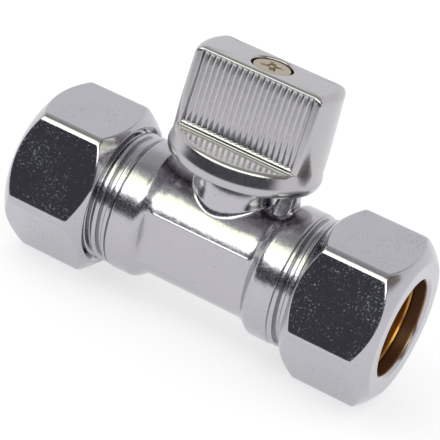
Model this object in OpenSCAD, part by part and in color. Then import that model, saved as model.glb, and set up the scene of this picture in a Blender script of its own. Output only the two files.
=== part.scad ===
// Isolating ball valve for small copper pipe, both ends compression joints, turned by a knob handle.
// X runs along the pipe, Z up the spindle. The origin is where the two axes cross, the ball's centre.
// Lengths are in millimetres, angles in degrees.

/* [Pipe and thread] */
// Outside diameter of the copper pipe that both ends take
pipe_d = 15; // [14.8:0.05:15.2]
// Outside diameter of the body's end threads
thread_d = 20.9; // [20.5:0.1:21.4]
// Distance that a nut moves in one turn
thread_pitch = 1.814; // [1.6:0.01:1.9]
// Length of thread outside each collar
thread_len = 8.6; // [8:0.1:9.4]
// Turns of thread left showing between the right collar and its nut
turns_right = 1.66; // [1.2:0.02:1.9]
// Turns of thread left showing between the left collar and its nut, which is done up less
turns_left = 1.96; // [1.66:0.02:2.1]

/* [Body] */
// Wall of the round barrel over the ball chamber
body_wall = 2.15; // [2:0.05:2.5]
// Half of the barrel's length
barrel_half = 8.5; // [7.8:0.1:8.8]
// Diameter of the collar that each thread starts from
collar_d = 21.1; // [20.9:0.1:21.6]
// Length of the sloping step from barrel to collar
step_len = 1.9; // [1.4:0.1:2.2]
// Length of each collar
collar_len = 3.5; // [3:0.1:4]
// Depth of the two forged side flats below the barrel's round
flat_depth = 0.95; // [0.5:0.05:1.05]
// Lean of the side flats, the draft of the forging
flat_lean = 6; // [0:0.5:8]
// Diameter of the boss round the spindle
boss_d = 12.4; // [12:0.1:13]
// Height of the boss above the ball chamber
boss_h = 6.1; // [5.9:0.1:6.5]
// Width of the post that stops the handle
stop_w = 3; // [2:0.1:3.6]
// Thickness of the stop post along the pipe
stop_t = 2.4; // [1.8:0.1:2.6]

/* [Ball and seats] */
// Ball diameter
ball_d = 13; // [12.6:0.1:13.1]
// Thickness of the ball round its waterway, at the middle
ball_wall = 2; // [1.9:0.05:2.4]
// Gap between the ball and the chamber round it
chamber_gap = 0.4; // [0.3:0.05:0.6]
// Distance that each seat reaches back over the ball from its end
seat_lap = 3.1; // [2.8:0.05:3.3]
// Thickness of each seat
seat_t = 3.8; // [3.4:0.1:4.2]
// Length of the ring that holds the seats in
retainer_len = 5; // [4:0.1:5.2]
// Width of the spanner slots in the retaining ring
retainer_slot = 2; // [1.2:0.1:2.6]

/* [Spindle] */
// Spindle shaft diameter
shaft_d = 5.8; // [5.5:0.1:6.2]
// Diameter of the flange that keeps the spindle in
flange_d = 8.4; // [7.8:0.1:8.8]
// Thickness of the flange
flange_t = 1; // [0.8:0.05:1.2]
// Thickness of the thrust washer over the flange
thrust_t = 0.5; // [0.4:0.05:0.8]
// Width of the blade that turns the ball
blade_w = 2.9; // [2.4:0.1:3.2]
// Length of the blade across the pipe
blade_len = 5.2; // [4.6:0.1:6]
// Size across the square that carries the handle
square_w = 4; // [3.6:0.1:4.1]
// Height of the square above the boss
square_h = 7; // [5.5:0.1:8]
// Cord diameter of the spindle's sealing rings
ring_cord = 0.8; // [0.6:0.05:0.9]

/* [Handle] */
// Diameter of the handle's base disc
handle_d = 23.7; // [23:0.1:24.4]
// Narrowing of the handle from base to top, on the diameter
handle_taper = 1; // [0.4:0.1:1.6]
// Height from the disc's underside to the top
handle_h = 15.9; // [14.5:0.1:17]
// Thickness of the base disc
disc_t = 3.6; // [3.4:0.1:4.2]
// Rounding of the disc's lower edge
disc_round = 1; // [0.6:0.1:1.6]
// Narrowing of the disc's side towards its upper edge, on the radius
disc_slope = 0.5; // [0.2:0.1:0.8]
// Rounding of the disc's upper edge
rim_round = 0.6; // [0.3:0.05:0.9]
// Rounding of the handle's top edge at both ends
top_round = 1.3; // [0.6:0.1:1.8]
// Thickness of the grip bar at its top
grip_top = 8.8; // [8.4:0.1:9.6]
// Thickness of the grip bar where it meets the disc
grip_base = 10.5; // [10:0.1:11.2]
// Number of grip ribs on each face
rib_count = 20; // [14:1:24]
// Depth of the grooves between the ribs
rib_depth = 0.35; // [0.2:0.05:0.5]
// Plain lip above and below the ribs
rib_lip = 0.55; // [0.4:0.05:1]
// Plain margin at both ends of the ribs
rib_margin = 0.4; // [0.2:0.1:1]

/* [Handle screw] */
// Thread diameter of the handle screw
screw_d = 3; // [2.5:0.1:3]
// Head diameter of the handle screw
head_d = 5.8; // [5.4:0.1:6]
// Head height of the handle screw
head_h = 1.9; // [1.6:0.1:2.2]
// Gap between head and counterbore
head_gap = 0.3; // [0.2:0.05:0.4]
// Width of the cross recess arms
cross_w = 0.9; // [0.7:0.05:1.1]
// Depth of the cross recess
cross_depth = 1.2; // [0.9:0.1:1.3]

/* [Nut and olive] */
// Size across the flats of each nut
hex_af = 24; // [23.8:0.1:25.5]
// Length of each nut
nut_len = 14.5; // [13.8:0.1:15.4]
// Rounding of the nut's long edges
nut_edge = 1.6; // [1:0.1:2]
// Diameter of the flat ring round the nut's inner end
nut_face_d = 23; // [22.4:0.1:23.6]
// Length of the chamfer at the nut's inner end, measured at the corners
nut_inner_chamfer = 2.2; // [1.6:0.1:2.6]
// Length of the dome at the nut's outer end, measured at the corners
nut_outer_dome = 2.7; // [2.1:0.1:3]
// Turn of the hexagons about the pipe
hex_turn = 10; // [0:1:60]
// Thickness of the nut's end wall round the pipe hole
nut_lip = 3; // [2.8:0.1:3.5]
// Bevel of the pipe hole's rim in the nut
nut_rim = 0.5; // [0.2:0.1:0.8]
// Outside diameter of each olive at its middle
olive_d = 17.5; // [17.2:0.1:17.7]
// Length of each olive
olive_len = 6.2; // [5.6:0.1:6.4]
// Length of the slope at both ends of an olive
olive_slope = 1.3; // [1:0.1:1.5]
// Half of the rise of that slope
olive_wall_end = 0.45; // [0.35:0.05:0.5]

/* [Clearances] */
// Running clearance of turning shafts and of the threads, on the radius
run_clear = 0.05; // [0.03:0.01:0.1]
// Clearance between pipe and body, on the radius
pipe_clear = 0.1; // [0.06:0.01:0.15]
// Clearance between pipe and olive, on the radius
olive_clear = 0.12; // [0.08:0.01:0.16]
// Clearance between pipe and nut, on the radius
nut_clear = 0.18; // [0.14:0.01:0.25]
// Clearance between ball and seats
seat_clear = 0.08; // [0.05:0.01:0.12]
// Clearance of parts assembled without moving
rest_clear = 0.03; // [0.02:0.01:0.05]
// Gap under the handle, over the boss
lift_gap = 0.3; // [0.2:0.05:0.4]

/* [Hidden] */
$fn = 96;
cut = 0.5;
pipe_r = pipe_d / 2;
socket_r = pipe_r + pipe_clear;
nut_hole_r = pipe_r + nut_clear;
olive_in_r = pipe_r + olive_clear;
thread_r = thread_d / 2;
collar_r = collar_d / 2;
collar_in = barrel_half + step_len;
collar_out = collar_in + collar_len;
body_end = collar_out + thread_len;
nut_in = collar_out + turns_right * thread_pitch;
left_shift = (turns_left - turns_right) * thread_pitch;
nut_out = nut_in + nut_len;
// the thread's lead-in chamfer and the runout groove beside the collar
lead_in = thread_pitch * 0.4;
groove_w = thread_pitch * 0.35;
groove_depth = thread_pitch * 0.14;
// female side of the end threads, without its teeth
nut_thread_r = thread_r + run_clear;
nut_cone_len = nut_thread_r - nut_hole_r;
nut_cone_out = nut_out - nut_lip;
nut_cone_in = nut_cone_out - nut_cone_len;
// hexagon corner radius from the axis, before rounding
hex_r = hex_af / 2 / cos(30);
nut_face_r = nut_face_d / 2;
// the outer end's outline from the corners inward: drop from the corner radius, distance from the end
dome_share = [[0, 1], [0.3, 0.7], [0.6, 0.4], [0.82, 0.17], [1, 0.06], [1.2, 0]];
// the olive lies against the nut's cone
olive_r = olive_d / 2;
olive_end_r = olive_in_r + olive_wall_end;
olive_gap = pipe_clear;
olive_out = nut_cone_out - (olive_end_r - nut_hole_r) - olive_gap;
olive_in = olive_out - olive_len;
// the body's cone is the olive's end slope with the same gap
seat_slope = 30;
cone_mouth_r = olive_r + olive_gap + (body_end - olive_in - olive_slope) * tan(seat_slope);
cone_small = body_end - (cone_mouth_r - socket_r) / tan(seat_slope);
// ball chamber, and the barrel and boss round it
ball_r = ball_d / 2;
water_r = ball_r - ball_wall;
chamber_r = ball_r + chamber_gap;
barrel_r = chamber_r + body_wall;
boss_top = chamber_r + boss_h;
seat_in = ball_r - seat_lap;
seat_back = seat_in + seat_t;
seat_r = chamber_r - rest_clear;
pipe_stop = seat_back + retainer_len + rest_clear;
seat_bore_r = water_r + rest_clear;
// spindle heights
flange_r = flange_d / 2;
shaft_r = shaft_d / 2;
pocket_r = flange_r + run_clear;
flange_z = chamber_r + run_clear;
thrust_z = flange_z + flange_t;
pocket_top = thrust_z + thrust_t + rest_clear;
blade_z = water_r + (ball_r - water_r) * 0.32;
slot_z = blade_z - rest_clear - run_clear;
square_top = boss_top + square_h;
ring_out_r = shaft_r + run_clear / 2;
ring_in_r = ring_out_r - ring_cord;
ring_land = (boss_top - pocket_top) / 3;
ring_z1 = pocket_top + ring_land;
ring_z2 = pocket_top + ring_land * 2;
groove_h = ring_cord * 1.3;
// handle heights
handle_z = boss_top + lift_gap;
handle_top = handle_z + handle_h;
disc_top = handle_z + disc_t;
disc_r = handle_d / 2;
top_r = disc_r - handle_taper / 2;
head_hole_r = head_d / 2 + head_gap;
head_z = handle_top - head_h - head_gap / 2;
washer_t = head_h * 0.3;
washer_z = head_z - washer_t;
screw_hole_r = screw_d / 2 + run_clear;
screw_low = boss_top + square_h * 0.2;
// the post turns in an arc slot of the disc
stop_r = collar_in - stop_t / 2 - step_len * 0.35;
stop_in = stop_r - stop_t / 2;
stop_out = stop_r + stop_t / 2;
slot_depth = disc_t / 2;
stop_top = handle_z + slot_depth - lift_gap;
stop_gap = lift_gap;
grip_lean = atan((grip_base - grip_top) / 2 / (handle_top - disc_top));
rib_half = sqrt(pow(top_r - top_round / 3, 2) - pow(grip_base / 2, 2)) - rib_margin;
rib_pitch = 2 * rib_half / rib_count;

function arc(cx, cy, r, a0, a1, n) = [for (i = [0:n]) let (a = a0 + (a1 - a0) * i / n)
    [cx + r * cos(a), cy + r * sin(a)]];

// hexagon with rounded corners
function hexagon(n = 5) = [for (k = [0:5]) for (i = [0:n])
    let (c = hex_r - nut_edge / cos(30), a = 60 * k - 30 + 60 * i / n)
    [c * cos(60 * k) + nut_edge * cos(a), c * sin(60 * k) + nut_edge * sin(a)]];

// a profile drawn as [radius, x] is turned about the pipe axis and looks toward +X
module along_x() {
    rotate([0, 90, 0]) rotate_extrude() children();
}

module mirror_x() {
    children();
    mirror([1, 0, 0]) children();
}

// body

// outside of one half, from the middle of the pipe to the mouth
module half_outside() {
    along_x() polygon(concat(
        [[0, 0], [barrel_r, 0], [barrel_r, barrel_half - step_len / 4]],
        arc(barrel_r + step_len / 2, barrel_half - step_len / 4, step_len / 2, 180, 130, 5),
        arc(collar_r - step_len / 2, collar_in, step_len / 2, -35, 0, 5),
        [[collar_r, collar_out], [thread_r - groove_depth, collar_out + groove_depth],
         [thread_r - groove_depth, collar_out + groove_w], [thread_r, collar_out + groove_w + groove_depth],
         [thread_r, body_end - lead_in], [thread_r - lead_in, body_end], [0, body_end]]));
}

module flat_cutter() {
    reach = 2 * barrel_r;
    rotate([flat_lean, 0, 0])
    translate([-barrel_half - step_len / 4, -barrel_r - reach + flat_depth, -reach / 2])
    cube([2 * barrel_half + step_len / 2, reach, reach]);
}

module boss() {
    foot = chamber_r;
    translate([0, 0, foot]) cylinder(d = boss_d, h = boss_top - foot - rim_round);
    translate([0, 0, boss_top - rim_round])
    cylinder(r1 = boss_d / 2, r2 = boss_d / 2 - rim_round, h = rim_round);
}

module stop_post() {
    translate([stop_in, -stop_w / 2, chamber_r + rest_clear])
    cube([stop_t, stop_w, stop_top - chamber_r - rest_clear]);
}

module half_bore() {
    along_x() polygon([[0, pipe_stop], [socket_r, pipe_stop], [socket_r, cone_small],
        [cone_mouth_r, body_end], [cone_mouth_r + cut * tan(seat_slope), body_end + cut],
        [0, body_end + cut]]);
}

module valve_body() {
    color([0.78, 0.78, 0.8])
    difference() {
        union() {
            difference() {
                mirror_x() half_outside();
                flat_cutter();
                mirror([0, 1, 0]) flat_cutter();
            }
            boss();
            stop_post();
        }
        mirror_x() half_bore();
        // chamber, open to the right for assembly
        rotate([0, 90, 0]) translate([0, 0, -seat_back]) cylinder(r = chamber_r, h = seat_back + pipe_stop + cut);
        rotate([0, -90, 0]) cylinder(r = seat_bore_r, h = pipe_stop + cut);
        // pocket for flange and thrust washer, then the spindle's hole
        cylinder(r = pocket_r, h = pocket_top);
        cylinder(r = shaft_r + run_clear, h = boss_top + cut);
    }
}

// ball, seats, retainer

module ball() {
    color([0.8, 0.8, 0.82])
    difference() {
        sphere(r = ball_r);
        rotate([0, 90, 0]) translate([0, 0, -ball_r - cut]) cylinder(r = water_r, h = ball_d + 2 * cut);
        translate([-blade_w / 2 - run_clear, -ball_r - cut, slot_z])
        cube([blade_w + 2 * run_clear, ball_d + 2 * cut, ball_r]);
    }
}

module seat() {
    color([0.95, 0.95, 0.92])
    difference() {
        rotate([0, 90, 0]) translate([0, 0, seat_in]) cylinder(r = seat_r, h = seat_t - rest_clear);
        rotate([0, 90, 0]) translate([0, 0, seat_in - cut]) cylinder(r = seat_bore_r, h = seat_t + 2 * cut);
        sphere(r = ball_r + seat_clear);
    }
}

module seat_left() {
    mirror([1, 0, 0]) seat();
}

module seat_right() {
    seat();
}

module seat_retainer() {
    color([0.8, 0.62, 0.3])
    difference() {
        rotate([0, 90, 0]) translate([0, 0, seat_back]) cylinder(r = seat_r, h = retainer_len);
        rotate([0, 90, 0]) translate([0, 0, seat_back - cut]) cylinder(r = seat_bore_r, h = retainer_len + 2 * cut);
        translate([seat_back + retainer_len - retainer_slot / 2, -seat_r - cut, -retainer_slot / 2])
        cube([retainer_slot, 2 * seat_r + 2 * cut, retainer_slot]);
    }
}

// spindle and its seals

module ring_groove(z) {
    translate([0, 0, z - groove_h / 2])
    difference() {
        cylinder(r = shaft_r + cut, h = groove_h);
        translate([0, 0, -cut]) cylinder(r = ring_in_r - rest_clear, h = groove_h + 2 * cut);
    }
}

module spindle() {
    color([0.8, 0.62, 0.3])
    difference() {
        union() {
            translate([-blade_w / 2, -blade_len / 2, blade_z])
            cube([blade_w, blade_len, flange_z - blade_z + flange_t / 2]);
            translate([0, 0, flange_z]) cylinder(r = flange_r, h = flange_t);
            translate([0, 0, flange_z]) cylinder(r = shaft_r, h = boss_top - flange_z);
            translate([-square_w / 2, -square_w / 2, boss_top - flange_t]) cube([square_w, square_w, square_h + flange_t]);
        }
        ring_groove(ring_z1);
        ring_groove(ring_z2);
        translate([0, 0, screw_low - screw_d / 2]) cylinder(r = screw_hole_r, h = square_top - screw_low + screw_d);
    }
}

module thrust_washer() {
    color([0.95, 0.95, 0.92])
    translate([0, 0, thrust_z])
    difference() {
        cylinder(r = flange_r, h = thrust_t);
        translate([0, 0, -cut]) cylinder(r = shaft_r + run_clear, h = thrust_t + 2 * cut);
    }
}

module spindle_ring(z) {
    color([0.1, 0.1, 0.1])
    translate([0, 0, z]) rotate_extrude() translate([ring_in_r + ring_cord / 2, 0]) circle(d = ring_cord, $fn = 24);
}

module spindle_ring_lower() {
    spindle_ring(ring_z1);
}

module spindle_ring_upper() {
    spindle_ring(ring_z2);
}

// handle

// the disc with its rounded edges
module handle_disc() {
    rotate_extrude() polygon(concat(
        [[0, handle_z]],
        arc(disc_r - disc_round, handle_z + disc_round, disc_round, -90, 0, 8),
        arc(disc_r - disc_slope - rim_round, disc_top - rim_round, rim_round, 15, 90, 5),
        [[0, disc_top]]));
}

// the full-height round that the bar is cut from
module handle_round() {
    rotate_extrude() polygon(concat(
        [[0, handle_z + disc_round], [disc_r, handle_z + disc_round]],
        arc(top_r - top_round, handle_top - top_round, top_round, 0, 90, 6),
        [[0, handle_top]]));
}

// one face's cut: plain to the lips, then deeper between the ribs
module grip_cutter() {
    wide = handle_d;
    translate([0, -grip_base / 2, disc_top]) rotate([-grip_lean, 0, 0]) {
        translate([-wide / 2, -wide, -disc_t]) cube([wide, wide, handle_h + disc_t]);
        translate([0, 0, rib_lip])
        linear_extrude(height = (handle_top - disc_top) / cos(grip_lean) - 2 * rib_lip)
        polygon(concat([[rib_half, -cut], [-rib_half, -cut]], rib_edge()));
    }
}

// each rib is a low round between two sharp grooves
function rib_edge(n = 5) = [for (k = [0:rib_count - 1]) for (i = [0:n])
    [-rib_half + rib_pitch * (k + i / n), rib_depth * (1 - sin(180 * i / n))]];

module stop_slot() {
    half = asin((stop_w / 2 + stop_gap) / stop_in);
    translate([0, 0, handle_z - cut])
    difference() {
        linear_extrude(height = slot_depth + cut)
        polygon(concat([[0, 0]], arc(0, 0, stop_out + stop_gap, -half, 90 + half, 12)));
        translate([0, 0, -cut]) cylinder(r = stop_in - stop_gap, h = slot_depth + 3 * cut);
    }
}

module handle() {
    color([0.78, 0.78, 0.8])
    difference() {
        union() {
            handle_disc();
            difference() {
                handle_round();
                grip_cutter();
                mirror([0, 1, 0]) grip_cutter();
            }
        }
        stop_slot();
        translate([-square_w / 2 - rest_clear, -square_w / 2 - rest_clear, handle_z - cut])
        cube([square_w + 2 * rest_clear, square_w + 2 * rest_clear, square_top - handle_z + cut + lift_gap]);
        translate([0, 0, handle_z]) cylinder(r = screw_hole_r, h = handle_h);
        translate([0, 0, washer_z]) cylinder(r = head_hole_r, h = handle_top - washer_z + cut);
    }
}

module handle_screw() {
    color([0.8, 0.75, 0.62])
    difference() {
        union() {
            translate([0, 0, head_z]) cylinder(d = head_d, h = head_h - rim_round / 2);
            translate([0, 0, head_z + head_h - rim_round / 2])
            cylinder(r1 = head_d / 2, r2 = head_d / 2 - rim_round / 2, h = rim_round / 2);
            translate([0, 0, screw_low]) cylinder(d = screw_d, h = head_z - screw_low);
        }
        for (a = [0, 90]) rotate([0, 0, a])
        translate([-head_d * 0.3, -cross_w / 2, head_z + head_h - cross_depth]) cube([head_d * 0.6, cross_w, cross_depth + cut]);
    }
}

module screw_washer() {
    color([0.7, 0.7, 0.7])
    translate([0, 0, washer_z])
    difference() {
        cylinder(r = head_d / 2, h = washer_t);
        translate([0, 0, -cut]) cylinder(r = screw_hole_r, h = washer_t + 2 * cut);
    }
}

// nuts and olives

module nut_blank() {
    intersection() {
        rotate([hex_turn, 0, 0]) rotate([0, 90, 0]) rotate([0, 0, 30]) translate([0, 0, nut_in])
        linear_extrude(height = nut_len) polygon(hexagon());
        along_x() polygon([[0, nut_in], [nut_face_r, nut_in], [hex_r, nut_in + nut_inner_chamfer],
            for (p = dome_share) [hex_r - nut_outer_dome * p[0], nut_out - nut_outer_dome * p[1]],
            [0, nut_out]]);
    }
}

module nut() {
    color([0.8, 0.8, 0.82])
    difference() {
        nut_blank();
        along_x() polygon([[0, nut_in - cut], [nut_thread_r + lead_in + cut, nut_in - cut],
            [nut_thread_r, nut_in + lead_in], [nut_thread_r, nut_cone_in], [nut_hole_r, nut_cone_out],
            [nut_hole_r, nut_out - nut_rim], [nut_hole_r + nut_rim + cut, nut_out + cut], [0, nut_out + cut]]);
    }
}

module nut_right() {
    nut();
}

module nut_left() {
    mirror([1, 0, 0]) translate([left_shift, 0, 0]) nut();
}

module olive() {
    color([0.83, 0.65, 0.3])
    along_x() polygon([[olive_in_r, olive_in], [olive_end_r, olive_in], [olive_r, olive_in + olive_slope],
        [olive_r, olive_out - olive_slope], [olive_end_r, olive_out], [olive_in_r, olive_out]]);
}

module olive_right() {
    olive();
}

module olive_left() {
    mirror([1, 0, 0]) translate([left_shift, 0, 0]) olive();
}

valve_body();
ball();
seat_left();
seat_right();
seat_retainer();
spindle();
thrust_washer();
spindle_ring_lower();
spindle_ring_upper();
handle();
handle_screw();
screw_washer();
nut_left();
nut_right();
olive_left();
olive_right();
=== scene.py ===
import math

import bmesh
import bpy
import numpy as np
from mathutils import Matrix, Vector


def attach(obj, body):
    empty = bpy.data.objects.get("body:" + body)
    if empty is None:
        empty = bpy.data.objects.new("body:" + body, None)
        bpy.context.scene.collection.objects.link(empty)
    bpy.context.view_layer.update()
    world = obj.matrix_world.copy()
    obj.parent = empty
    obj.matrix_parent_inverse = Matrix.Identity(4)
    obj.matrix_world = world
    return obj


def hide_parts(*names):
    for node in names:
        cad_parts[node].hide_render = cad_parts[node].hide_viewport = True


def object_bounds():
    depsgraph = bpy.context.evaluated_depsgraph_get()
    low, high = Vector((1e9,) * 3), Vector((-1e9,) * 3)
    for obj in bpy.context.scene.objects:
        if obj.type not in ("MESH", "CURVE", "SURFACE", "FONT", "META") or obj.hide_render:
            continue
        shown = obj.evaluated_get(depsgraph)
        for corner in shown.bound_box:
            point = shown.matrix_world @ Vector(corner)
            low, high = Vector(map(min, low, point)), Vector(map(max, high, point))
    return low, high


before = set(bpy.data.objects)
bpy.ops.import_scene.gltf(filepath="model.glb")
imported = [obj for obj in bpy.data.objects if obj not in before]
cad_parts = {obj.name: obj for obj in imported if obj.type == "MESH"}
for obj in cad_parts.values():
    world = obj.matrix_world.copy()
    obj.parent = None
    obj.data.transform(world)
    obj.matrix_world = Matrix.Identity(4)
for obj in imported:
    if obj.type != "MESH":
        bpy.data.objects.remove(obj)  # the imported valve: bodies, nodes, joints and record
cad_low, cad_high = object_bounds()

# Isolating valve with a ribbed knob and two compression ends. Blender works in metres; the sizes
# below are the part's own, in millimetres, and meet() turns them to metres.
# X runs along the pipe, Z up the spindle; "lift" is the angle up from -Y round the pipe axis.
MM = 0.001

# threads
THREAD_R, PITCH, THREAD_DEPTH = 10.45, 1.814, 0.92
CREST_SHARP, CREST_SHARE = 2.6, 0.1  # flat crests and roots, crest a little wider than root
NUT_THREAD_GAP = 0.09
END_CHAMFER, THREAD_ROW = 0.73, 0.07  # lead-in on the thread's end; distance between rows of points
# body
BARREL_R, BARREL_HALF = 9.05, 8.5
COLLAR_R, COLLAR_IN, COLLAR_OUT, BODY_END = 10.55, 10.4, 13.9, 22.5
FLAT_AWAY, FLAT_LEAN, FLAT_HALF = 8.1, 6.0, 8.975
FLAT_FADE, FLAT_FADE_LEN = 0.7, 1.3  # where the flat runs out on the steps
RIDGE_HIGH, RIDGE_BACK, RIDGE_WIDE = 0.045, 0.05, 0.08  # fine ridge along the flat's edges
SOFT_EDGE = 0.1
BOSS_R, BOSS_TOP, BOSS_DRAFT, BOSS_SIDE_LOW, BOSS_FILLET, BOSS_LOW = 6.2, 13.0, 0.62, 10.1, 1.4, 6.95
SPINDLE_HOLE_R = 2.95
POST_X, POST_HALF_X, POST_HALF_Y = 8.535, 1.2, 1.5
POST_LOW, POST_NECK, POST_TOP, POST_FOOT = 7.0, 13.2, 14.8, 1.75  # foot: times the plan's size
POLE_R = 0.02
SEAT_BACK, PIPE_STOP, SOCKET_R, CHAMBER_R, WATER_R = 7.2, 12.23, 7.6, 6.9, 4.53
CONE_MOUTH_R, CONE_LEN = 8.549, 1.644
# nuts
NUT_IN, NUT_OUT, LEFT_SHIFT = 16.911, 31.411, 0.544
HEX_HALF, HEX_EDGE, HEX_LIFT = 12.0, 1.6, 20.0
NUT_FACE_R, INNER_CHAMFER, DOME, DOME_DROP, DOME_POWER = 11.5, 2.2, 2.7, 3.24, 1.35
NUT_HOLE_R, NUT_RIM, NUT_LIP, NUT_BORE_R, LEAD_IN = 7.68, 0.5, 2.45, 10.5, 0.73
# compression rings
RING_IN_R, RING_FOOT_R, RING_LOW_R, RING_R = 7.62, 8.07, 8.05, 8.75  # hole, inner edge, outer edge, middle
RING_LEN, RING_SLOPE = 6.75, 1.3
RING_GAP, TIP_LEN, TIP_R = 0.49, 0.33, 7.74  # gap to the nut's lip; tip pressed along the cone
# handle
HANDLE_Z, SHELF_Z, HANDLE_TOP, DISC_R = 13.3, 16.9, 29.2, 11.85
RIM_R, RIM_FOOT_Z, FOOT, TOP_EDGE, END_EDGE = 11.22, 14.3, 0.3, 0.7, 1.3
GRIP_BASE, GRIP_TOP, END_BASE_R, END_TOP_R = 5.25, 4.4, 11.754, 11.31
RIB_HALF, RIBS, RIB_DEPTH, PANEL_DEPTH, PANEL_EDGE = 9.171, 20, 0.15, 0.17, 0.2
RIB_LOW, RIB_HIGH, RIB_END = 0.72, 0.36, 0.35  # from the shelf, from the top, length of the round end
CORNER, CORNER_TALL = 0.45, 6.0
SLOT_IN, SLOT_OUT, SLOT_TOP, SLOT_HALF_ANGLE = 7.035, 10.035, 15.1, 14.2
SQUARE_HALF, SQUARE_TOP, SCREW_HOLE_R, SCREW_HOLE_Z, HUB_R = 2.03, 20.3, 1.55, 24.0, 5.0
HEAD_HOLE_R, WASHER_Z = 3.2, 26.58
# handle screw
HEAD_Z, HEAD_TOP, HEAD_R, SCREW_R, SCREW_LOW, HEAD_TURN = 27.15, 29.05, 2.9, 1.5, 14.4, 24.0
ARM_HALF, ARM_LONG, ARM_DEPTH = 0.48, 1.8, 1.2


def ease(t):
    """Smooth step 3t^2 - 2t^3 of t held between 0 and 1."""
    t = np.clip(t, 0, 1)
    return t * t * (3 - 2 * t)


def swell(t):
    """Quarter-circle rise sqrt(1 - (1-t)^2) of t held between 0 and 1: steep first, then level."""
    t = np.clip(t, 0, 1)
    return np.sqrt(1 - (1 - t) ** 2)


def softer_min(a, b, k):
    """Smaller of a and b, their meeting rounded over k: min(a,b) - max(k-|a-b|,0)^2 / 4k."""
    return np.minimum(a, b) - np.maximum(k - np.abs(a - b), 0) ** 2 / (4 * k)


def round_x(x, r, lift):
    """Points (x, -r cos(lift), r sin(lift)): a profile (x, r) turned about the pipe axis."""
    x, r, lift = np.broadcast_arrays(x, r, lift)
    return np.stack([x, -r * np.cos(lift), r * np.sin(lift)], -1)


def round_z(r, turn, z):
    """Points (r cos(turn), r sin(turn), z): a profile (r, z) turned about the spindle's axis."""
    r, turn, z = np.broadcast_arrays(r, turn, z)
    return np.stack([r * np.cos(turn), r * np.sin(turn), z], -1)


def rounded(corners, cuts, steps=6):
    """Line through corners[..., k, :], where a corner C with a cut is replaced by the parabola
    (1-t)^2 A + 2t(1-t) C + t^2 B. A and B lie cut mm from C on its two sides, and at most half a
    side. One more point just before A and after B keeps the shading of the sides level."""
    corners = np.asarray(corners, float)
    t = np.linspace(0, 1, steps + 1)[:, None]
    line = []
    for k, cut in enumerate(cuts):
        c = corners[..., k : k + 1, :]
        if not cut:
            line.append(c)
            continue
        back, on = corners[..., k - 1 : k, :] - c, corners[..., k + 1 : k + 2, :] - c
        far_back = np.linalg.norm(back, axis=-1, keepdims=True) + 1e-9
        far_on = np.linalg.norm(on, axis=-1, keepdims=True) + 1e-9
        reach = np.minimum(cut, 0.45 * np.minimum(far_back, far_on))
        a, b = c + back / far_back * reach, c + on / far_on * reach
        guard_a = c + back / far_back * np.minimum(1.3 * reach, 0.49 * far_back)
        guard_b = c + on / far_on * np.minimum(1.3 * reach, 0.49 * far_on)
        line += [guard_a, (1 - t) ** 2 * a + 2 * t * (1 - t) * c + t * t * b, guard_b]
    return np.concatenate(line, axis=-2)


def thread_cut(x, lift):
    """Depth 0 (crest) to 1 (root) of the right-hand thread at x and lift: with the phase
    f = x/pitch + lift/360, it is (1 - tanh(s (cos(2 pi f) + c)) / tanh(s)) / 2, held to 0..1."""
    wave = np.cos(2 * np.pi * x / PITCH + lift)
    return np.clip(0.5 - 0.5 * np.tanh(CREST_SHARP * (wave + CREST_SHARE)) / np.tanh(CREST_SHARP), 0, 1)


def meet(name, points, finishes, body, node, closed=True, bands=()):
    """One piece from a grid of points in mm, [row, column, xyz]. Columns close on themselves, rows too
    where closed. Its faces are turned outward by the sign of the volume they enclose. bands are
    (first row, last row, finish number) with another finish than the first."""
    rows, cols = points.shape[:2]
    i, j = np.meshgrid(np.arange(rows if closed else rows - 1), np.arange(cols), indexing="ij")
    i2, j2 = (i + 1) % rows, (j + 1) % cols
    quads = np.stack([i * cols + j, i * cols + j2, i2 * cols + j2, i2 * cols + j], -1).reshape(-1, 4)
    spots = points.reshape(-1, 3) * MM
    corner = spots[quads]
    volume = sum(
        np.einsum("ij,ij->", corner[:, 0], np.cross(corner[:, m], corner[:, m + 1])) for m in (1, 2)
    )
    if volume < 0:
        quads = quads[:, ::-1]
    which = np.zeros(len(quads), np.int32)
    for first, last, number in bands:
        which[first * cols : last * cols] = number
    mesh = bpy.data.meshes.new(name)
    mesh.from_pydata(spots, [], quads)
    for finish in finishes:
        mesh.materials.append(finish)
    mesh.polygons.foreach_set("material_index", which)
    weld(mesh)
    return show(name, mesh, body, node)


def weld(mesh):
    """Joins points that fall together, such as a pole's, drops what has no area, and shades the
    faces smooth except across edges sharper than 38 degrees."""
    work = bmesh.new()
    work.from_mesh(mesh)
    bmesh.ops.remove_doubles(work, verts=work.verts, dist=2e-7)
    bmesh.ops.dissolve_degenerate(work, edges=work.edges, dist=1e-7)
    work.to_mesh(mesh)
    work.free()
    mesh.polygons.foreach_set("use_smooth", np.ones(len(mesh.polygons), bool))
    mesh.set_sharp_from_angle(angle=math.radians(38))
    mesh.update()


def show(name, mesh, body, node):
    """Puts the mesh in the scene as a piece that rides on body and stands for node, which it hides."""
    piece = bpy.data.objects.new(name, mesh)
    bpy.context.scene.collection.objects.link(piece)
    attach(piece, body)
    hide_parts(node)
    return piece


def linear(code):
    """sRGB hex to linear: c/12.92 up to 0.04045, ((c + 0.055) / 1.055)^2.4 above."""
    c = np.array([int(code[k : k + 2], 16) for k in (1, 3, 5)]) / 255
    return (*np.where(c <= 0.04045, c / 12.92, ((c + 0.055) / 1.055) ** 2.4).tolist(), 1.0)


def add(tree, kind, inputs=(), **settings):
    """Adds a node of that kind. Settings are its own; inputs are links or values, by socket."""
    node = tree.nodes.new(kind)
    for key, value in settings.items():
        setattr(node, key, value)
    for key, value in dict(inputs).items():
        if isinstance(value, bpy.types.NodeSocket):
            tree.links.new(value, node.inputs[key])
        else:
            node.inputs[key].default_value = value
    return node


def per_mm(size):
    """Texture scale, in turns per metre, of a pattern whose marks are that many mm across."""
    return 1 / (size * MM)


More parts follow.
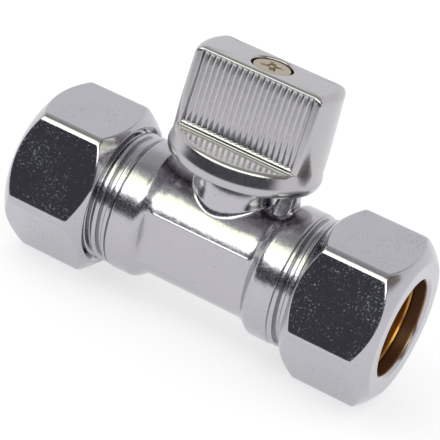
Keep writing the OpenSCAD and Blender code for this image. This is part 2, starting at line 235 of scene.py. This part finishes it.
def noise(tree, place, size, detail, roughness=0.5):
    """Cloudy pattern 0 to 1, about size mm across."""
    inputs = {"Vector": place, "Scale": per_mm(size), "Detail": detail, "Roughness": roughness}
    return add(tree, "ShaderNodeTexNoise", inputs).outputs["Fac"]


def relief(tree, height, depth_um, under=None):
    """Normal of a surface that height raises by up to depth_um, on top of another normal."""
    inputs = {"Height": height, "Distance": depth_um * 1e-6, "Strength": 1.0}
    if under is not None:
        inputs["Normal"] = under
    return add(tree, "ShaderNodeBump", inputs).outputs[0]


def spread(tree, value, from_min, from_max, to_min=0.0, to_max=1.0, **settings):
    """value's range from_min to from_max carried over to to_min to to_max, held at both ends."""
    return add(tree, "ShaderNodeMapRange", {"Value": value, "From Min": from_min, "From Max": from_max,
                                            "To Min": to_min, "To Max": to_max}, **settings).outputs[0]


def maths(tree, operation, *values):
    """Result of one operation on up to three values."""
    return add(tree, "ShaderNodeMath", dict(enumerate(values)), operation=operation).outputs[0]


def mix(tree, factor, a, b):
    """Colour a where factor is 0, b where it is 1."""
    node = add(tree, "ShaderNodeMix", data_type="RGBA")
    sockets = {s.identifier: s for s in node.inputs}
    for key, value in (("Factor_Float", factor), ("A_Color", a), ("B_Color", b)):
        if isinstance(value, bpy.types.NodeSocket):
            tree.links.new(value, sockets[key])
        else:
            sockets[key].default_value = value
    return next(s for s in node.outputs if s.identifier == "Result_Color")


def new_finish(name):
    """An empty node material and its tree."""
    finish = bpy.data.materials.new(name)
    finish.use_nodes = True
    finish.node_tree.nodes.clear()
    return finish, finish.node_tree


def end_finish(tree, inputs):
    """A principled shader with these inputs, as the material's surface."""
    shader = add(tree, "ShaderNodeBsdfPrincipled", inputs)
    add(tree, "ShaderNodeOutputMaterial", {"Surface": shader.outputs[0]})


CROWDING = 0.3  # how far the pits keep to patches


def chrome(name, tint, speck_tint, roughness, wave_mm, wave_um, grain_um, speck_from):
    """Bright chromium plate. A slow wave bends the mirrored room as polished forgings do, a fine grain
    takes off the glassy edge, and pits the size of sand grains, where the plate is duller, crowd in
    patches and show as specks on dark reflections."""
    finish, t = new_finish(name)
    place = add(t, "ShaderNodeTexCoord").outputs["Object"]
    wave, grain, patch = noise(t, place, wave_mm, 2), noise(t, place, 0.22, 3), noise(t, place, 6, 2)
    pits = maths(t, "MULTIPLY_ADD", patch, CROWDING, noise(t, place, 0.38, 4, 0.7))
    first = speck_from + CROWDING / 2
    speck = spread(t, pits, first, first + 0.06)
    haze = spread(t, pits, 0.57, first, roughness, roughness + 0.07)
    dull = spread(t, speck, 0, 1, haze, 0.34)
    normal = relief(t, grain, grain_um, relief(t, wave, wave_um))
    colour = mix(t, speck, linear(tint), linear(speck_tint))
    end_finish(t, {"Base Color": colour, "Roughness": dull, "Metallic": 1.0, "Normal": normal})
    return finish


def turned(name, tint, roughness, groove_mm, groove_um):
    """Bare machined metal: fine tool rings across the axis, with a slow unevenness in the colour."""
    finish, t = new_finish(name)
    place = add(t, "ShaderNodeTexCoord").outputs["Object"]
    rings = add(t, "ShaderNodeTexWave", {"Vector": place, "Scale": per_mm(groove_mm) / 20, "Distortion": 0.4},
                wave_type="BANDS", bands_direction="X").outputs["Fac"]
    dull = spread(t, noise(t, place, 4, 2), 0, 1, roughness - 0.08, roughness + 0.1)
    end_finish(t, {"Base Color": linear(tint), "Roughness": dull, "Metallic": 1.0,
                   "Normal": relief(t, rings, groove_um)})
    return finish


def moulded(name, tint, roughness, grain_mm, grain_um):
    """Moulded plastic or rubber: one colour, soft gloss, a fine skin of grain."""
    finish, t = new_finish(name)
    place = add(t, "ShaderNodeTexCoord").outputs["Object"]
    grain = noise(t, place, grain_mm, 3)
    dull = spread(t, grain, 0, 1, roughness - 0.06, roughness + 0.06)
    end_finish(t, {"Base Color": linear(tint), "Roughness": dull, "Normal": relief(t, grain, grain_um)})
    return finish


# chromium plate over a hot brass forging: softly waved, so that the mirrored room is broken up
chromed_forging = chrome("chromed_brass_forging", "#BAB8BE", "#A8A8B0", 0.17, 1.9, 36, 2.2, 0.62)
# chromium plate over a nut turned from hexagon bar: flats truer than a forging, with plating pits
chromed_nut = chrome("chromed_brass_nut", "#BAB8BE", "#A9B0BE", 0.10, 5.0, 10, 1.2, 0.60)
# chromium plate over die-cast zinc: the smoothest of the three
chromed_zinc = chrome("chromed_zinc_casting", "#B8B6B9", "#B0B0B4", 0.19, 3.5, 12, 2.4, 0.70)
# hard chromium on a lapped ball: an even mirror
chromed_ball = chrome("chromed_ball", "#C8C9CA", "#C0C2C6", 0.05, 6.0, 1, 0.2, 0.8)
# brass straight from the lathe: warm, with fine rings; an oxide film makes it browner than polished brass
bare_brass = turned("turned_brass", "#C9934C", 0.34, 0.25, 3)
# bare brass of the nuts' pipe holes, darker and browner than the turned brass: painted shade for the inside
# of the hole, with little shine
hole_brass_painted_shade = turned("brass_with_painted_shade", "#95785F", 0.36, 0.25, 4)
# pressed and sintered PTFE: waxy white
seal_plastic = moulded("ptfe", "#EDEDE6", 0.42, 0.3, 4)
# moulded nitrile rubber: black with a dull bloom
seal_rubber = moulded("nitrile_rubber", "#1C1C1D", 0.55, 0.2, 6)
# zinc-plated steel, passivated: pale with a straw tone
plated_steel = turned("plated_steel", "#B5A999", 0.34, 0.3, 2)


def half_barrel():
    """Outside of one half of the body in (x, r), from the middle of the pipe to its mouth: barrel,
    sloping step, collar, runout groove. The thread's stretch follows in close rows."""
    corners = [(0, BARREL_R), (4, BARREL_R), (BARREL_HALF, BARREL_R), (COLLAR_IN, COLLAR_R),
               (COLLAR_OUT, COLLAR_R), (COLLAR_OUT + 0.25, THREAD_R - 0.25)]
    start = rounded(corners, [0, 0, 0.9, 0.5, 0.22, 0], 8)
    x = np.arange(COLLAR_OUT + 0.31, BODY_END - 0.05, THREAD_ROW)
    return np.concatenate([start, np.stack([x, np.full_like(x, THREAD_R)], -1)])


def body_shell():
    """Body without boss and post: its half outside and the mirrored half, then the bores from mouth
    to mouth, all turned about the pipe axis. Over the barrel the radius is the smaller of the
    barrel's and of a leaning flat's, 8.1 / cos(lift + 6 degrees), and where they meet a bell curve
    raises a fine ridge. The thread is cut into the ends."""
    edge_away = 26.5  # degrees between a flat's middle and its edge on the barrel
    near = np.radians([-FLAT_LEAN + edge_away, -FLAT_LEAN - edge_away])
    lift = np.linspace(-np.pi, np.pi, 176, endpoint=False)
    for edge in (*near, *(np.pi - near)):
        edge = (edge + np.pi) % (2 * np.pi) - np.pi
        lift = np.concatenate([lift, edge + np.radians(np.linspace(-2.6, 2.6, 11))])
    lift = np.unique(np.round(lift, 5))
    half = half_barrel()
    outer = np.concatenate([half[:0:-1] * [-1, 1], half])
    lip = [(BODY_END - 0.06, THREAD_R - END_CHAMFER + 0.06), (BODY_END, THREAD_R - END_CHAMFER - 0.07),
           (BODY_END, CONE_MOUTH_R + 0.05)]
    bore = [(BODY_END - 0.1, CONE_MOUTH_R - 0.05), (BODY_END - CONE_LEN, SOCKET_R), (PIPE_STOP, SOCKET_R),
            (PIPE_STOP, CHAMBER_R), (-SEAT_BACK, CHAMBER_R), (-SEAT_BACK, WATER_R), (-PIPE_STOP, WATER_R),
            (-PIPE_STOP, SOCKET_R), (-BODY_END + CONE_LEN, SOCKET_R), (-BODY_END + 0.1, CONE_MOUTH_R - 0.05)]
    inner = np.array(lip + bore + [(-x, r) for x, r in lip[::-1]])
    first, count = len(outer) + 2, len(bore) + 2
    profile = np.concatenate([outer, inner])
    x, r = profile[:, :1], np.repeat(profile[:, 1:], len(lift), 1)
    out = np.arange(len(profile))[:, None] < len(outer)
    side = np.abs(x)
    flat = FLAT_AWAY / np.cos(np.arcsin(np.sin(lift)) + np.radians(FLAT_LEAN)).clip(0.5)
    held = ease((FLAT_HALF + FLAT_FADE - side) / FLAT_FADE_LEN)
    ridge = RIDGE_HIGH * np.exp(-(((flat - BARREL_R - RIDGE_BACK) / RIDGE_WIDE) ** 2))
    cut = r + (softer_min(r, flat, SOFT_EDGE) + ridge - r) * held
    r = np.where(out & (side < FLAT_HALF + FLAT_FADE), cut, r)
    depth = THREAD_DEPTH * ease((side - COLLAR_OUT - 0.2) / 0.5) * thread_cut(x, lift)
    lead = THREAD_R - END_CHAMFER + (BODY_END - side)
    r = np.where(out & (side > COLLAR_OUT + 0.26), softer_min(THREAD_R - depth, lead, SOFT_EDGE), r)
    return meet("body_shell", round_x(x, r, lift), [chromed_forging, bare_brass], "casing", "valve_body",
                bands=[(first, first + count, 1)])


def body_boss():
    """Boss round the spindle: profile (r, z) from its hole over the top, down its drafted side, then a
    fillet onto the barrel, whose height is sqrt(9.05^2 - y^2) at each turn, and down into it."""
    turn = np.linspace(0, 2 * np.pi, 144, endpoint=False)
    one = np.ones_like(turn)

    def barrel_z(r):
        """Height of the barrel's outside at distance r from the spindle's axis."""
        return np.sqrt(BARREL_R**2 - (r * np.sin(turn)) ** 2)

    foot_r = BOSS_R + BOSS_FILLET
    corners = [
        (SPINDLE_HOLE_R * one, 10 * one), (SPINDLE_HOLE_R * one, BOSS_TOP * one),
        ((BOSS_R - BOSS_DRAFT) * one, BOSS_TOP * one), (BOSS_R * one, BOSS_SIDE_LOW * one),
        (BOSS_R * one, barrel_z(BOSS_R)), (foot_r * one, barrel_z(foot_r) - 0.01),
        (foot_r * one, barrel_z(foot_r) - 1), (SPINDLE_HOLE_R * one, BOSS_LOW * one)]
    corners = np.stack([np.stack(c, -1) for c in corners], -2)
    line = rounded(corners, [0, 0.12, 0.3, 0.8, BOSS_FILLET, 0, 0, 0], 12)
    points = round_z(line[..., 0], turn[:, None], line[..., 1])
    return meet("body_boss", points.transpose(1, 0, 2), [chromed_forging], "casing", "valve_body")


def stop_post():
    """Post that stops the handle: a rounded rectangle 2.4 x 3 mm in plan, |x/a|^3 + |y/b|^3 = 1, drawn
    up from inside the barrel on a drafted foot, its top edge rounded."""
    turn = np.linspace(0, 2 * np.pi, 72, endpoint=False)
    c, s = np.cos(turn), np.sin(turn)
    plan = (np.abs(c / POST_HALF_X) ** 3 + np.abs(s / POST_HALF_Y) ** 3) ** (-1 / 3)
    line = rounded([(POLE_R, POST_LOW), (POST_FOOT, POST_LOW), (1, POST_NECK), (1, POST_TOP),
                    (POLE_R, POST_TOP)], [0, 0, 1.2, 0.3, 0], 6)
    share, z = line[:, :1], line[:, 1:]
    points = np.stack([POST_X + plan * c * share, plan * s * share, z + 0 * turn], -1)
    return meet("stop_post", points, [chromed_forging], "casing", "valve_body",
                closed=False)


def hexagon():
    """Radius and lift of a hexagon's outline: corners are arcs of 1.6 mm round centres 1.6/cos 30 inside
    the sharp corner, flats are lines between them, with points closer together near the arcs."""
    centre = (HEX_HALF - HEX_EDGE) / math.cos(math.radians(30))
    k = np.arange(6)[:, None]
    bend = np.radians(60 * k - 30 + np.linspace(0, 60, 8))
    ahead = np.radians(60 * k)
    y = centre * np.cos(ahead) + HEX_EDGE * np.cos(bend)
    z = centre * np.sin(ahead) + HEX_EDGE * np.sin(bend)
    s = (1 - np.cos(np.linspace(0, np.pi, 26)[1:-1])) / 2
    flat_y = y[:, -1:] + (np.roll(y[:, :1], -1, 0) - y[:, -1:]) * s
    flat_z = z[:, -1:] + (np.roll(z[:, :1], -1, 0) - z[:, -1:]) * s
    y, z = np.concatenate([y, flat_y], 1).ravel(), np.concatenate([z, flat_z], 1).ravel()
    return np.hypot(y, z), np.arctan2(z, y) + np.radians(HEX_LIFT - 30)


def nut(side):
    """Nut for the right end (side 1) or the left one (side -1). Each column of the grid is a profile
    (x, r) at one lift: bore, inner face, chamfer out to the hexagon's radius R there, along the flat,
    and down the dome x = out - 2.7 (1 - (13.86 - r) / 3.24)^1.35 to the flat ring round the hole."""
    reach, lift = hexagon()
    corner = HEX_HALF / math.cos(math.radians(30))
    shift = LEFT_SHIFT if side < 0 else 0
    start, end = NUT_IN + shift, NUT_OUT + shift
    one = np.ones_like(reach)
    chamfer_x = start + (reach - NUT_FACE_R) / (corner - NUT_FACE_R) * INNER_CHAMFER
    face_r = corner - DOME_DROP
    cone_foot = end - NUT_LIP - NUT_BORE_R + NUT_HOLE_R
    dome = [reach + (face_r - reach) * s for s in (0, 0.2, 0.4, 0.6, 0.8, 1)]
    dome = [(end - DOME * (1 - (corner - r) / DOME_DROP).clip(0) ** DOME_POWER, r) for r in dome]
    corners = [((start + LEAD_IN) * one, NUT_BORE_R * one), (start * one, (NUT_BORE_R + LEAD_IN) * one),
               (start * one, NUT_FACE_R * one), (chamfer_x, reach), *dome,
               (end * one, (NUT_HOLE_R + NUT_RIM) * one), ((end - NUT_RIM) * one, NUT_HOLE_R * one),
               ((end - NUT_LIP) * one, NUT_HOLE_R * one), (cone_foot * one, NUT_BORE_R * one)]
    corners = np.stack([np.stack(c, -1) for c in corners], -2)
    cuts = [0, 0.08, 0.2, 0.28, 0.35, 1, 1, 1, 1, 1, 0.18, 0.25, 0.1, 0]
    line = rounded(corners, cuts, 6)
    row_step = 0.09
    wall_x = np.arange(cone_foot - 0.1, start + LEAD_IN, -row_step)
    wall_x = np.repeat(wall_x[None], len(lift), 0)
    wall = np.stack([wall_x, np.full_like(wall_x, NUT_BORE_R)], -1)
    profile = np.concatenate([line, wall], 1).transpose(1, 0, 2)
    x, r = profile[..., 0] * side, profile[..., 1]
    rows = np.arange(len(profile))[:, None] >= line.shape[1]  # the bore, where the thread is cut
    held = ease((np.abs(x) - start - 0.2) / 0.5) * ease((end - NUT_LIP - 2.9 - np.abs(x)) / 0.5)
    root = THREAD_R + NUT_THREAD_GAP - THREAD_DEPTH * 0.9 * thread_cut(x, lift)
    r = np.where(rows, r + (np.minimum(root, r) - r) * held, r)
    which = "right" if side > 0 else "left"
    last = line.shape[1]
    # the pipe hole and the cone wear bare brass made darker as painted shade for the hole
    hole = (last - 16, last - 1, 1)  # the last rows before the bore are the pipe hole and the cone: no plate
    return meet(f"nut_{which}_shell", round_x(x, r, lift), [chromed_nut, hole_brass_painted_shade], f"{which}_nut",
                f"nut_{which}", bands=[hole])


def olive(side):
    """Compression ring: a low barrel round the pipe with sloping ends, (x, r) turned about the axis. Its
    outer tip is pressed along the nut's cone."""
    shift = LEFT_SHIFT if side < 0 else 0
    out = NUT_OUT + shift - NUT_LIP - RING_GAP
    inner = out - RING_LEN
    corners = [(out - 3, RING_IN_R), (inner, RING_IN_R), (inner, RING_FOOT_R), (inner + RING_SLOPE, RING_R),
               (out - RING_SLOPE, RING_R), (out, RING_LOW_R), (out + TIP_LEN, TIP_R), (out - 0.05, RING_IN_R),
               (out - 2.9, RING_IN_R)]
    line = rounded(corners, [0, 0.08, 0.12, 0.5, 0.5, 0.12, 0.1, 0.1, 0], 5)
    lift = np.linspace(0, 2 * np.pi, 120, endpoint=False)
    which = "right" if side > 0 else "left"
    return meet(f"{which}_compression_ring", round_x(line[:, :1] * side, line[:, 1:], lift), [bare_brass],
                f"{which}_olive", f"olive_{which}")


def bar_outline(half, end_r, groove, panel, corner, wide):
    """Plan outline of the grip at several heights, [height, column, xy], counter-clockwise from the
    left of the front face. Face: y = -half + panel + groove (1 - |sin(pi x / pitch)|), where the panel
    fades over 0.2 mm. Then a rounded corner, a parabola that takes corner mm of the face and wide mm
    of the end, the end's arc of radius end_r, a corner, and the same turned half round."""
    half, end_r, groove, panel, corner, wide = (
        np.reshape(v, (-1, 1)) for v in (half, end_r, groove, panel, corner, wide))
    reach = np.sqrt(end_r**2 - half**2)
    x = np.linspace(-RIB_HALF, RIB_HALF, RIBS * 10 + 1)
    wave = 1 - np.abs(np.sin(np.pi * RIBS * (x + RIB_HALF) / (2 * RIB_HALF)))
    s = np.linspace(0, 1, 10)[:-1]
    left = -(reach - corner) + (reach - corner - RIB_HALF) * s
    face_x = np.concatenate([left, x + 0 * half, -left[:, ::-1]], 1)
    face_y = np.concatenate([0 * left, groove * wave, 0 * left], 1) - half
    face_y = face_y + panel * ease((RIB_HALF + PANEL_EDGE - np.abs(face_x)) / PANEL_EDGE)
    lean = np.arcsin(half / end_r)
    skip = wide / end_r
    swing = (lean - skip) * np.linspace(-1, 1, 25)
    arc_x, arc_y = end_r * np.cos(swing), end_r * np.sin(swing)
    t = np.linspace(0, 1, 7)[1:-1]
    bend_x = (1 - t) ** 2 * (reach - corner) + 2 * t * (1 - t) * reach + t**2 * arc_x[:, :1]
    bend_y = (1 - t) ** 2 * -half + 2 * t * (1 - t) * -half + t**2 * arc_y[:, :1]
    px = np.concatenate([face_x, bend_x, arc_x, bend_x[:, ::-1]], 1)
    py = np.concatenate([face_y, bend_y, arc_y, -bend_y[:, ::-1]], 1)
    return np.stack([np.concatenate([px, -px], 1), np.concatenate([py, -py], 1)], -1)


def foot_fillet(plan, z):
    """Hollow at the foot of the grip's faces: y grows by f (1 - sqrt(1 - (1 - z/f)^2)) up to the height
    f = 0.3 mm, or 0.55 of the shelf's depth where that is less, and not at all on the ends."""
    x, y = plan[..., 0], plan[..., 1]
    shelf = np.sqrt((RIM_R**2 - x**2).clip(0)) - GRIP_BASE
    face_half = RIM_R - 0.9
    f = np.clip(0.55 * shelf, 0.001, FOOT) * ease((face_half - np.abs(x)) / 0.8) + 0.001
    grow = f * (1 - np.sqrt(1 - np.clip(1 - z[:, None] / f, 0, 1) ** 2))
    return np.stack([x, y + np.sign(y) * grow * (np.abs(x) < face_half)], -1)


def handle_knob():
    """The whole handle as one closed surface. A column starts in the screw's hole, goes down it, out
    over the square hole and the disc's underside with its stop slot, round the disc's edge, in over the
    shelf, up the ribbed grip (or its end), over the top and back down the counterbore. The grooves are
    deeper near both ends by two bell curves of the height, the upper edges are quarter circles, and
    the corners widen towards the shelf."""
    tall = HANDLE_TOP - SHELF_Z
    z = np.concatenate([FOOT * (1 - np.cos(np.linspace(0, np.pi / 2, 8))), np.linspace(0.42, 1.08, 16),
                        [1.3, 1.8, 2.4, 3.1, 4, 7, tall - 2.4, tall - 1.8],
                        tall - END_EDGE * (1 - np.sin(np.linspace(0, np.pi / 2, 22)))])

    def top_round(edge):
        """How far a quarter circle of radius edge draws the outline in at each height."""
        return edge * (1 - np.sqrt(1 - np.clip((z - tall + edge) / edge, 0, 1) ** 2))

    half = GRIP_BASE - (GRIP_BASE - GRIP_TOP) * z / tall - top_round(TOP_EDGE)
    end_r = END_BASE_R + (END_TOP_R - END_BASE_R) * z / tall - top_round(END_EDGE)
    deeper = 1 + 1.2 * (np.exp(-(((z - 0.7) / 1.2) ** 2)) + np.exp(-((tall - 0.4 - z) ** 2)))
    groove = RIB_DEPTH * deeper * swell((z - RIB_LOW) / RIB_END) * swell((tall - RIB_HIGH - z) / RIB_END)
    panel = PANEL_DEPTH * ease((z - 0.42) / 0.42) * ease((tall - 0.3 - z) / 0.5)
    below = (1 - z / CORNER_TALL).clip(0)
    corner, wide = CORNER + 0.7 * below**2, CORNER + 2.7 * below**1.3
    plan = foot_fillet(bar_outline(half, end_r, groove, panel, corner, wide), z)
    bar = np.concatenate([plan, np.broadcast_to((z + SHELF_Z)[:, None, None], (*plan.shape[:2], 1))], -1)
    turn = np.arctan2(bar[0, :, 1], bar[0, :, 0])
    foot_r = np.hypot(bar[0, :, 0], bar[0, :, 1])
    rim_r = np.maximum(RIM_R, foot_r)
    rim_z = SHELF_Z - (rim_r - RIM_R) / (DISC_R - RIM_R) * (SHELF_Z - RIM_FOOT_Z)
    foot = round_z(foot_r, turn, rim_z)
    box = SQUARE_HALF / np.maximum(np.abs(np.cos(turn)), np.abs(np.sin(turn)))
    degrees = np.degrees(turn)
    slot = np.where((degrees > -SLOT_HALF_ANGLE) & (degrees < 90 + SLOT_HALF_ANGLE), SLOT_TOP, HANDLE_Z)
    before = [round_z(SCREW_HOLE_R, turn, SCREW_HOLE_Z), round_z(SCREW_HOLE_R, turn, SQUARE_TOP),
              round_z(box, turn, SQUARE_TOP), round_z(box, turn, HANDLE_Z), round_z(HUB_R, turn, HANDLE_Z),
              round_z(SLOT_IN, turn, HANDLE_Z), round_z(SLOT_IN, turn, slot), round_z(SLOT_OUT, turn, slot),
              round_z(SLOT_OUT, turn, HANDLE_Z), round_z(DISC_R - 0.15, turn, HANDLE_Z),
              round_z(DISC_R + 0.04, turn, RIM_FOOT_Z + 0.2), round_z(rim_r, turn, rim_z), foot]
    after = [round_z(HEAD_HOLE_R + 0.2, turn, HANDLE_TOP), round_z(HEAD_HOLE_R, turn, HANDLE_TOP - 0.2),
             round_z(HEAD_HOLE_R, turn, WASHER_Z), round_z(SCREW_HOLE_R, turn, WASHER_Z)]
    corners = np.stack([*before, *bar, *after], 1)
    cuts = [0] * 9 + [0.55, 0.8, 0.65, 0] + [0] * len(bar) + [0.1, 0.1, 0, 0]
    points = rounded(corners, cuts, 8).transpose(1, 0, 2)
    return meet("handle_knob", points, [chromed_zinc], "turning_group", "handle")


def screw_head():
    """Cross-recessed screw. The top's height is 29.05 less a shallow dome and less a recess: for each of
    two arms at right angles, 1.2 (1 - 0.45 r / 1.75) mm deep, eased out at |across| 0.48 and |along| 1.8."""
    turn = np.linspace(0, 2 * np.pi, 128, endpoint=False)
    r = np.concatenate([np.linspace(0.001, 2.2, 44), np.linspace(2.25, HEAD_R - 0.16, 6)])[:, None]
    arm_turn = turn - np.radians(HEAD_TURN)
    c, s = r * np.cos(arm_turn), r * np.sin(arm_turn)
    arms = [ease((ARM_HALF - np.abs(a)) / 0.14) * ease((ARM_LONG - np.abs(b)) / 0.2)
            for a, b in ((c, s), (s, c))]
    z = HEAD_TOP - 0.012 * r**2 - ARM_DEPTH * np.maximum(*arms) * (1 - 0.45 * r / 1.75).clip(0)
    top = round_z(r, turn, z)
    side = rounded([(HEAD_R - 0.15, HEAD_TOP - 0.09), (HEAD_R, HEAD_TOP - 0.2), (HEAD_R, HEAD_Z),
                    (SCREW_R, HEAD_Z), (SCREW_R, SCREW_LOW), (0.001, SCREW_LOW)],
                   [0, 0.1, 0.1, 0, 0.15, 0], 4)
    points = np.concatenate([top, round_z(side[:, :1], turn, side[:, 1:])])
    return meet("screw_with_cross_recess", points, [plated_steel], "turning_group", "handle_screw",
                closed=False)


body_shell()
body_boss()
stop_post()
for end in (1, -1):
    nut(end)
    olive(end)
handle_knob()
screw_head()

kept_nodes = {
    "ball": chromed_ball, "seat_left": seal_plastic, "seat_right": seal_plastic,
    "thrust_washer": seal_plastic, "seat_retainer": bare_brass, "spindle": bare_brass,
    "spindle_ring_lower": seal_rubber, "spindle_ring_upper": seal_rubber, "screw_washer": plated_steel}
for name, finish in kept_nodes.items():
    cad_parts[name].data.materials.clear()
    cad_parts[name].data.materials.append(finish)


def floor_sheet():
    """The table: a flat sheet just under the lowest point, whose front edge lies 180 mm before the valve,
    where the dark room that the plating mirrors begins. It shows white, and a faint shadow."""
    low, front, far = cad_low.z - 0.1 * MM, -180 * MM, 2.0
    mesh = bpy.data.meshes.new("floor")
    corners = [(-far, front, low), (far, front, low), (far, far, low), (-far, far, low)]
    mesh.from_pydata(corners, [], [(0, 1, 2, 3)])
    floor = bpy.data.objects.new("floor", mesh)
    bpy.context.scene.collection.objects.link(floor)
    finish, t = new_finish("white_table")
    glow = add(t, "ShaderNodeEmission", {"Color": linear("#FFFFFF"), "Strength": 0.62})
    matt = add(t, "ShaderNodeBsdfDiffuse", {"Color": (0.42, 0.42, 0.42, 1)})
    both = add(t, "ShaderNodeAddShader", {0: glow.outputs[0], 1: matt.outputs[0]})
    add(t, "ShaderNodeOutputMaterial", {"Surface": both.outputs[0]})
    mesh.materials.append(finish)


floor_sheet()


def studio():
    """The room. The camera sees white. Matt surfaces get an even 0.9. Polished metal mirrors a studio:
    a dark room in front up to 26 degrees, a long soft light from 27 to 56 degrees above it, a grey
    ceiling, a white backdrop behind, and a brown screen at the right."""
    world = bpy.data.worlds.new("studio")
    bpy.context.scene.world = world
    world.use_nodes = True
    t = world.node_tree
    t.nodes.clear()
    way = add(t, "ShaderNodeSeparateXYZ", {"Vector": add(t, "ShaderNodeTexCoord").outputs["Generated"]})
    x, y, up = way.outputs
    signed = maths(t, "ARCTAN2", x, maths(t, "MULTIPLY", y, -1.0))  # angle from the front, right positive
    around = maths(t, "ABSOLUTE", signed)
    lowered = maths(t, "SUBTRACT", around, spread(t, up, 0.42, 0.92, 0, 0.32))
    smooth = {"interpolation_type": "SMOOTHSTEP"}
    behind = spread(t, lowered, math.radians(64), math.radians(84), **smooth)
    lit = spread(t, around, math.radians(72), math.radians(58), **smooth)
    height = spread(t, up, -1, 1)
    brightest = 4.0
    dark, lamp = (0.058, 0.061, 0.071), (2.4, 2.55, 1.95)
    dim, brown = (0.24, 0.215, 0.195), (0.248, 0.212, 0.184)

    def share(light):
        """The light, grey or coloured, as a share of the brightest."""
        light = light if isinstance(light, tuple) else (light,) * 3
        return (*(v / brightest for v in light), 1)

    def ramp(*stops):
        """Ramp over the height: stops are (sine of the angle above the horizon, light there)."""
        node = add(t, "ShaderNodeValToRGB", {"Fac": height})
        for k, (sine, light) in enumerate(stops):
            stop = node.color_ramp.elements[k] if k < 2 else node.color_ramp.elements.new(1.0)
            stop.position, stop.color = (sine + 1) / 2, share(light)
        return node.outputs[0]

    def window(value, middle, half, soft):
        """1 where |value - middle| < half - soft, 0 beyond half + soft."""
        off = maths(t, "ABSOLUTE", maths(t, "SUBTRACT", value, middle))
        return spread(t, off, half + soft, half - soft, **smooth)

    front = ramp((-1, dark), (0.425, dark), (0.455, brightest), (0.53, brightest), (0.61, lamp),
                 (0.825, lamp), (0.85, 0.6), (0.94, 0.34), (1, 0.42))
    aside = ramp((-1, dark), (0.40, dark), (0.47, dim), (0.80, dim), (0.94, 0.34), (1, 0.42))
    back = ramp((-1, 1.0), (0.3, 0.98), (0.42, 0.88), (0.55, 0.94), (0.69, 0.92), (0.77, 0.6), (0.9, 0.48),
                (1, 0.42))
    room = mix(t, behind, mix(t, lit, aside, front), back)
    screen = maths(t, "MULTIPLY", window(signed, math.radians(88), math.radians(24), math.radians(4)),
                   window(up, 0.63, 0.25, 0.05))

    def shine(colour, strength):
        """A background of that colour and strength."""
        return add(t, "ShaderNodeBackground", {"Color": colour, "Strength": strength}).outputs[0]

    def choose(ray, otherwise, chosen):
        """What rays of that kind see, and what the others see."""
        return add(t, "ShaderNodeMixShader", {0: path[ray], 1: otherwise, 2: chosen}).outputs[0]

    mirrored = shine(mix(t, screen, room, share(brown)), brightest)
    even, white = shine(linear("#FFFFFF"), 0.9), shine(linear("#FFFFFF"), 1.0)
    path = add(t, "ShaderNodeLightPath").outputs
    shown = choose("Is Camera Ray", choose("Is Glossy Ray", even, mirrored), white)
    add(t, "ShaderNodeOutputWorld", {"Surface": shown})


studio()


def soft_lamp():
    """A large soft lamp above and to the left, for the floor's shadow; the plating doesn't mirror it."""
    lamp = bpy.data.lights.new("soft_lamp", "AREA")
    lamp.shape, lamp.size, lamp.size_y, lamp.energy = "RECTANGLE", 0.5, 0.35, 0.9
    holder = bpy.data.objects.new("soft_lamp", lamp)
    holder.location = (-0.25, -0.3, 0.55)
    holder.rotation_euler = (math.radians(29), 0, math.radians(-40))
    holder.visible_glossy = False
    bpy.context.scene.collection.objects.link(holder)


soft_lamp()


def camera():
    """The photograph's camera: 320 mm away, 21.1 degrees round from the front, 24.2 up, rolled 16.5."""
    around, up, roll, away = 0.369, 0.423, 0.288, 320.0
    focal_px, aim = 2135.94, np.array([-1.038, 0.0, 3.116])
    toward = np.array([math.sin(around) * math.cos(up), -math.cos(around) * math.cos(up), math.sin(up)])
    right = np.cross(-toward, (0, 0, 1))
    right /= np.linalg.norm(right)
    top = np.cross(right, -toward)
    tilted_right = math.cos(roll) * right + math.sin(roll) * top
    tilted_top = -math.sin(roll) * right + math.cos(roll) * top
    data = bpy.data.cameras.new("camera")
    sensor, photo_px = 36.0, 440
    data.sensor_width, data.lens = sensor, focal_px / photo_px * sensor
    data.clip_start, data.clip_end = 0.01, 10.0
    holder = bpy.data.objects.new("camera", data)
    place = np.eye(4)
    place[:3] = np.stack([tilted_right, tilted_top, toward, (aim + toward * away) * MM], 1)
    holder.matrix_world = Matrix(place.tolist())
    bpy.context.scene.collection.objects.link(holder)
    bpy.context.scene.camera = holder


camera()
bpy.context.scene.view_settings.view_transform = "Standard"
